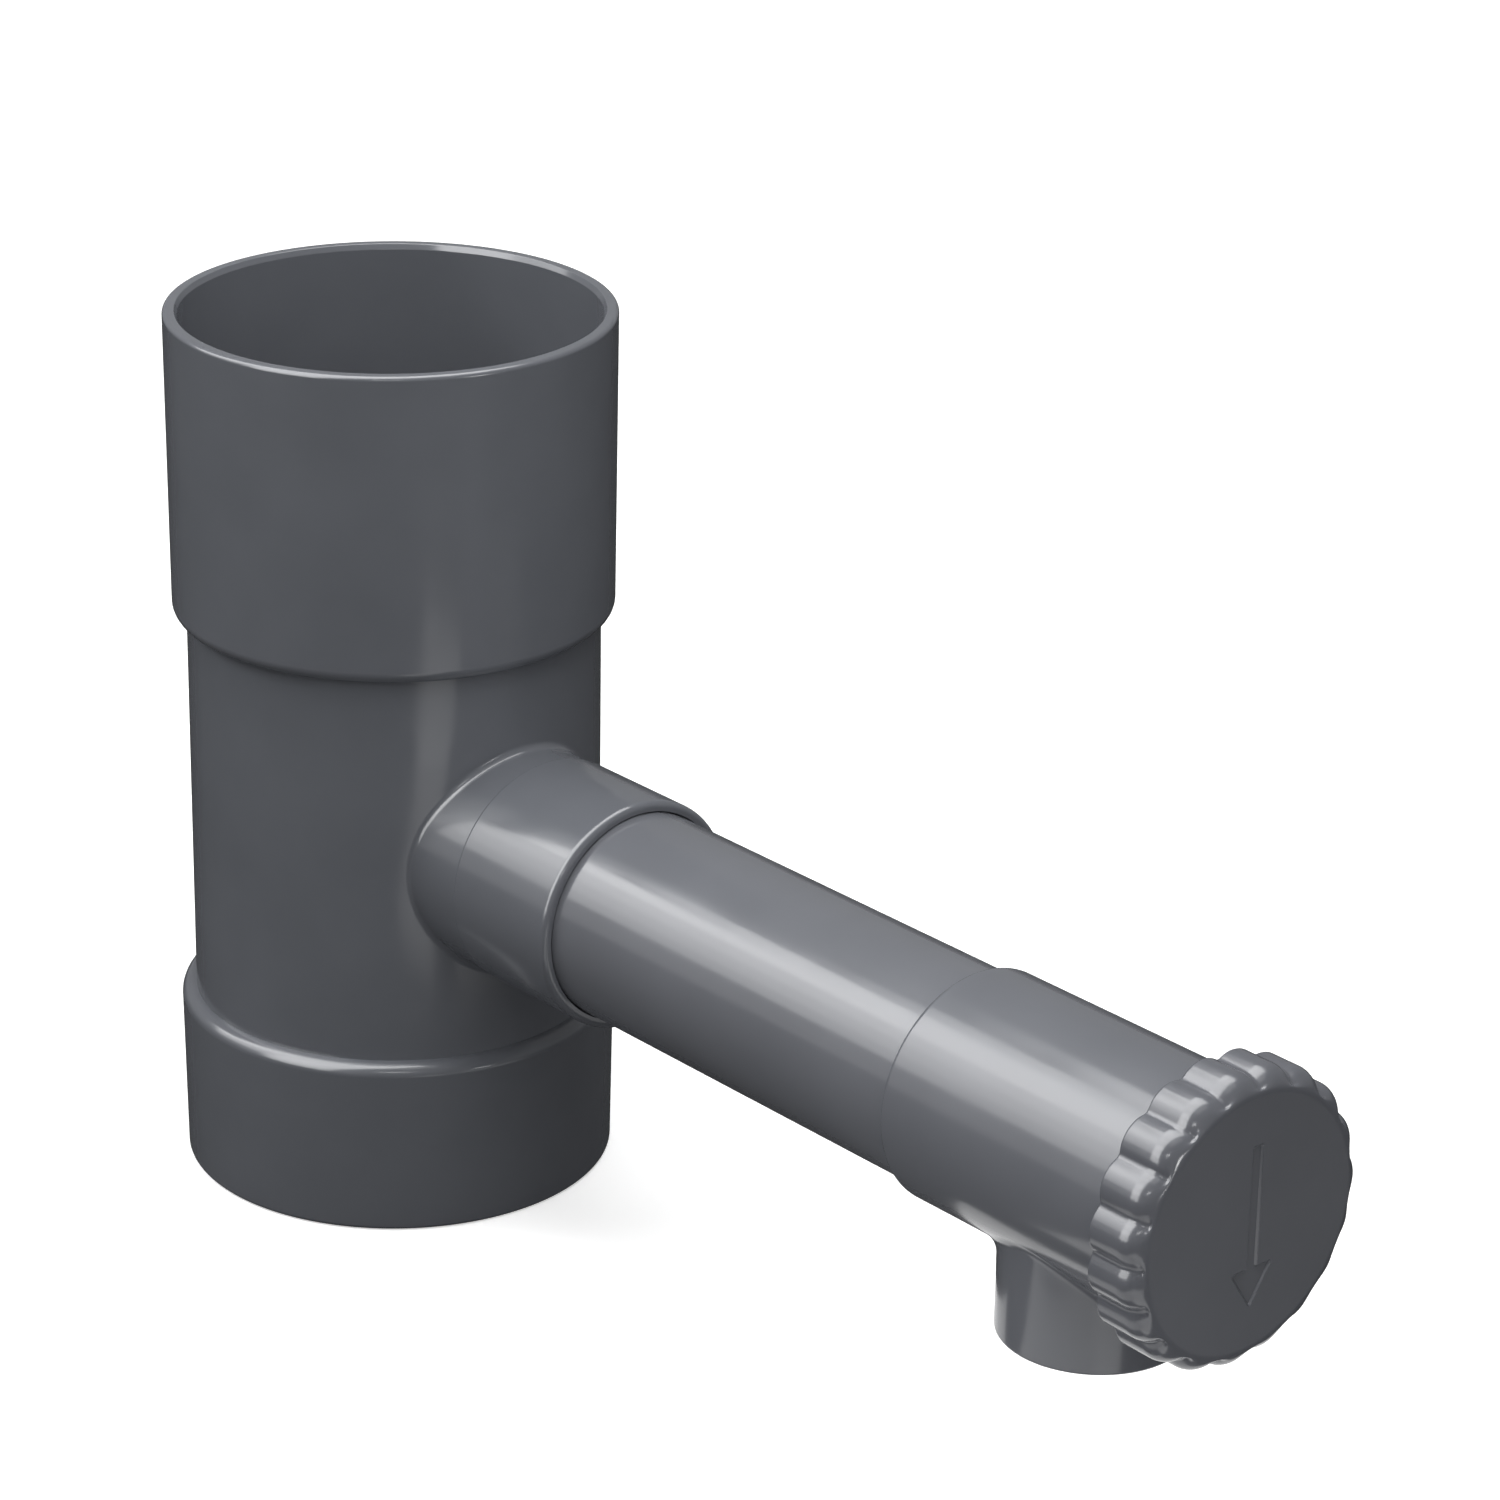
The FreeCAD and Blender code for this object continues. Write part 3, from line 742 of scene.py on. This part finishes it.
def makeCamera():
    # Camera axes from yaw, pitch and roll: x to the right of the picture, y up, z back from the object
    c = cameraSizes
    forward = Vector((math.cos(c["yaw"]) * math.cos(c["pitch"]), math.sin(c["yaw"]) * math.cos(c["pitch"]),
                      -math.sin(c["pitch"])))
    right = Vector((math.sin(c["yaw"]), -math.cos(c["yaw"]), 0))
    down = forward.cross(right)
    acrossPicture = right * math.cos(c["roll"]) + down * math.sin(c["roll"])
    downPicture = down * math.cos(c["roll"]) - right * math.sin(c["roll"])
    data = bpy.data.cameras.new("camera")
    data.lens = c["lens"]
    data.sensor_width = c["sensor"]
    camera = bpy.data.objects.new("camera", data)
    bpy.context.scene.collection.objects.link(camera)
    camera.matrix_world = Matrix((
        (acrossPicture.x, -downPicture.x, -forward.x, c["spot"][0]),
        (acrossPicture.y, -downPicture.y, -forward.y, c["spot"][1]),
        (acrossPicture.z, -downPicture.z, -forward.z, c["spot"][2]),
        (0, 0, 0, 1),
    ))
    bpy.context.scene.camera = camera


makeCamera()

# Angles in degrees, distances and sizes in metres, radiance 1 is white. Each lamp looks at the target. A gloss lamp is
# only mirrored and a matt lamp only lights the matt part of a surface, so that the two can be set one by one.
target = Vector((0.12, 0, 0.1))
lampTable = {
    "sky": {"azimuth": 0, "elevation": 90, "distance": 1.6, "size": (1.2, 2.0), "radiance": 1.2, "for": "gloss"},
    "spark": {"azimuth": -42, "elevation": 29, "distance": 1.6, "size": (0.4, 0.16), "radiance": 9, "for": "gloss"},
    "glint": {"azimuth": 5, "elevation": 2, "distance": 1.5, "size": (0.25, 0.2), "radiance": 18, "for": "gloss"},
    "top": {"azimuth": -20, "elevation": 80, "distance": 1.3, "size": (0.9, 0.9), "radiance": 4.8, "for": "matt"},
    "near": {"azimuth": -60, "elevation": 50, "distance": 0.7, "size": (0.3, 0.3), "radiance": 2.8, "for": "matt"},
    "side": {"azimuth": -15, "elevation": 35, "distance": 1.3, "size": (0.5, 0.5), "radiance": 1.2, "for": "matt"},
    "left": {"azimuth": -140, "elevation": 35, "distance": 1.5, "size": (0.6, 0.6), "radiance": 8.4, "for": "matt"},
}
# The key is a curved panel of strips that run along X up to "end". Each strip: lean from straight up towards the near
# side, from and to, where it starts along X, and its radiance.
keyPanel = {"distance": 1.3, "end": 0.31, "strips": [
    (-30, -10, -0.72, 6.5), (-10, 8, -0.88, 7.0), (8, 17, -1.03, 6.2), (17, 27, -1.22, 7.8),
    (27, 38, -1.9, 7.8), (38, 49, -1.9, 5.6), (49, 60, -1.9, 4.4), (60, 70, -1.9, 3.3),
    (38, 60, -0.55, 4.0), (60, 88, -0.55, 6.0), (70, 90, -1.9, 0.5),
]}
# Pale cards on the floor, which stand for a bright table. Lean is the tilt about Y: 0 lies flat and shines up, 90
# stands and shines along X.
cardTable = {
    "cardTee": {"spot": (0.252, 0.03, 0.001), "lean": 0, "size": (0.105, 0.125), "radiance": 1.2},
    "cardSide": {"spot": (0.199, 0.027, 0.018), "lean": 90, "size": (0.034, 0.12), "radiance": 1.1},
    "cardOutlet": {"spot": (0.272, -0.112, 0.001), "lean": 0, "size": (0.165, 0.08), "radiance": 1.25},
    "cardKnob": {"spot": (0.38, -0.10, 0.001), "lean": 0, "size": (0.12, 0.14), "radiance": 1.6},
    "cardRight": {"spot": (0.44, 0.14, 0.001), "lean": 0, "size": (0.14, 0.16), "radiance": 0.2},
}


def addLamp(name, spot, across, way, size, radiance, use):
    # Area lamp of power radiance * pi * area. It shines against way, and its first side runs along across.
    data = bpy.data.lights.new(name, "AREA")
    data.shape = "RECTANGLE"
    data.size, data.size_y = size
    data.energy = radiance * math.pi * size[0] * size[1]
    lamp = bpy.data.objects.new(name, data)
    bpy.context.scene.collection.objects.link(lamp)
    axes = Matrix((across, way.cross(across), way)).transposed()
    lamp.matrix_world = Matrix.Translation(spot) @ axes.to_4x4()
    lamp.visible_camera = False
    lamp.visible_glossy = use != "matt"
    lamp.visible_diffuse = use != "gloss"


def addKey():
    # A strip stands at d (0, -sin a, cos a) from the target, with a its middle lean and d the panel's distance
    for i, (low, high, start, radiance) in enumerate(keyPanel["strips"]):
        a, half = math.radians((low + high) / 2), math.radians((high - low) / 2)
        way = Vector((0, -math.sin(a), math.cos(a)))
        spot = target + way * keyPanel["distance"] + Vector(((start + keyPanel["end"]) / 2, 0, 0))
        size = (keyPanel["end"] - start, 2 * keyPanel["distance"] * math.tan(half))
        addLamp("key" + str(i), spot, Vector((1, 0, 0)), way, size, radiance, "gloss")


addKey()
for name, values in lampTable.items():
    a, e = math.radians(values["azimuth"]), math.radians(values["elevation"])
    way = Vector((math.cos(a) * math.cos(e), math.sin(a) * math.cos(e), math.sin(e)))
    addLamp(name, target + way * values["distance"], Vector((-math.sin(a), math.cos(a), 0)), way, values["size"],
            values["radiance"], values["for"])
for name, values in cardTable.items():
    a = math.radians(values["lean"])
    addLamp(name, Vector(values["spot"]), Vector((math.cos(a), 0, -math.sin(a))),
            Vector((-math.sin(a), 0, -math.cos(a))), values["size"], values["radiance"], "both")

# What the camera sees, what gloss mirrors and what lights the matt part of a surface, 1 being white. The floor shows
# the camera a paint and a glow, and bounces only a little, so that it stays white and the object's foot stays dark.
surround = {"seen": 1.0, "mirrored": 0.25, "fill": 0.5}
floorLook = {"seen": 0.85, "glow": 0.5, "bounce": 0.12, "mirrored": 0.03, "size": 8.0, "height": -0.0002}


def mixByRay(nodes, links, factor, other, chosen):
    # other where the factor is 0, chosen where it is 1
    mix = nodes.new("ShaderNodeMixShader")
    links.new(factor, mix.inputs["Fac"])
    links.new(other.outputs[0], mix.inputs[1])
    links.new(chosen.outputs[0], mix.inputs[2])
    return mix


def makeWorld():
    # White surround with one level for the camera, one for gloss and one for the rest
    world = bpy.data.worlds.new("studio")
    bpy.context.scene.world = world
    world.use_nodes = True
    nodes, links = world.node_tree.nodes, world.node_tree.links
    nodes.clear()
    path = nodes.new("ShaderNodeLightPath")
    levels = {}
    for key, value in surround.items():
        levels[key] = nodes.new("ShaderNodeBackground")
        levels[key].name = key
        levels[key].inputs["Color"].default_value = (1, 1, 1, 1)
        levels[key].inputs["Strength"].default_value = value
    gloss = mixByRay(nodes, links, path.outputs["Is Glossy Ray"], levels["fill"], levels["mirrored"])
    seen = mixByRay(nodes, links, path.outputs["Is Camera Ray"], gloss, levels["seen"])
    links.new(seen.outputs[0], nodes.new("ShaderNodeOutputWorld").inputs["Surface"])


def makeFloor():
    # Plain floor, white to the camera
    bpy.ops.mesh.primitive_plane_add(size=floorLook["size"], location=(0, 0, floorLook["height"]))
    floor = bpy.context.object
    floor.name = "floor"
    paint = bpy.data.materials.new("floorPaint")
    paint.use_nodes = True
    nodes, links = paint.node_tree.nodes, paint.node_tree.links
    nodes.clear()
    path = nodes.new("ShaderNodeLightPath")
    coats = {}
    for key in ("seen", "bounce"):
        coats[key] = nodes.new("ShaderNodeBsdfDiffuse")
        coats[key].inputs["Color"].default_value = (floorLook[key],) * 3 + (1,)
    glow = nodes.new("ShaderNodeEmission")
    glow.inputs["Strength"].default_value = floorLook["glow"]
    white = nodes.new("ShaderNodeAddShader")
    links.new(coats["seen"].outputs[0], white.inputs[0])
    links.new(glow.outputs[0], white.inputs[1])
    mirrored = nodes.new("ShaderNodeEmission")
    mirrored.inputs["Strength"].default_value = floorLook["mirrored"]
    gloss = mixByRay(nodes, links, path.outputs["Is Glossy Ray"], coats["bounce"], mirrored)
    seen = mixByRay(nodes, links, path.outputs["Is Camera Ray"], gloss, white)
    links.new(seen.outputs[0], nodes.new("ShaderNodeOutputMaterial").inputs["Surface"])
    floor.data.materials.append(paint)


makeWorld()
makeFloor()
print("camera, lamps, surround and floor made")

bpy.context.scene.view_settings.view_transform = "Standard"
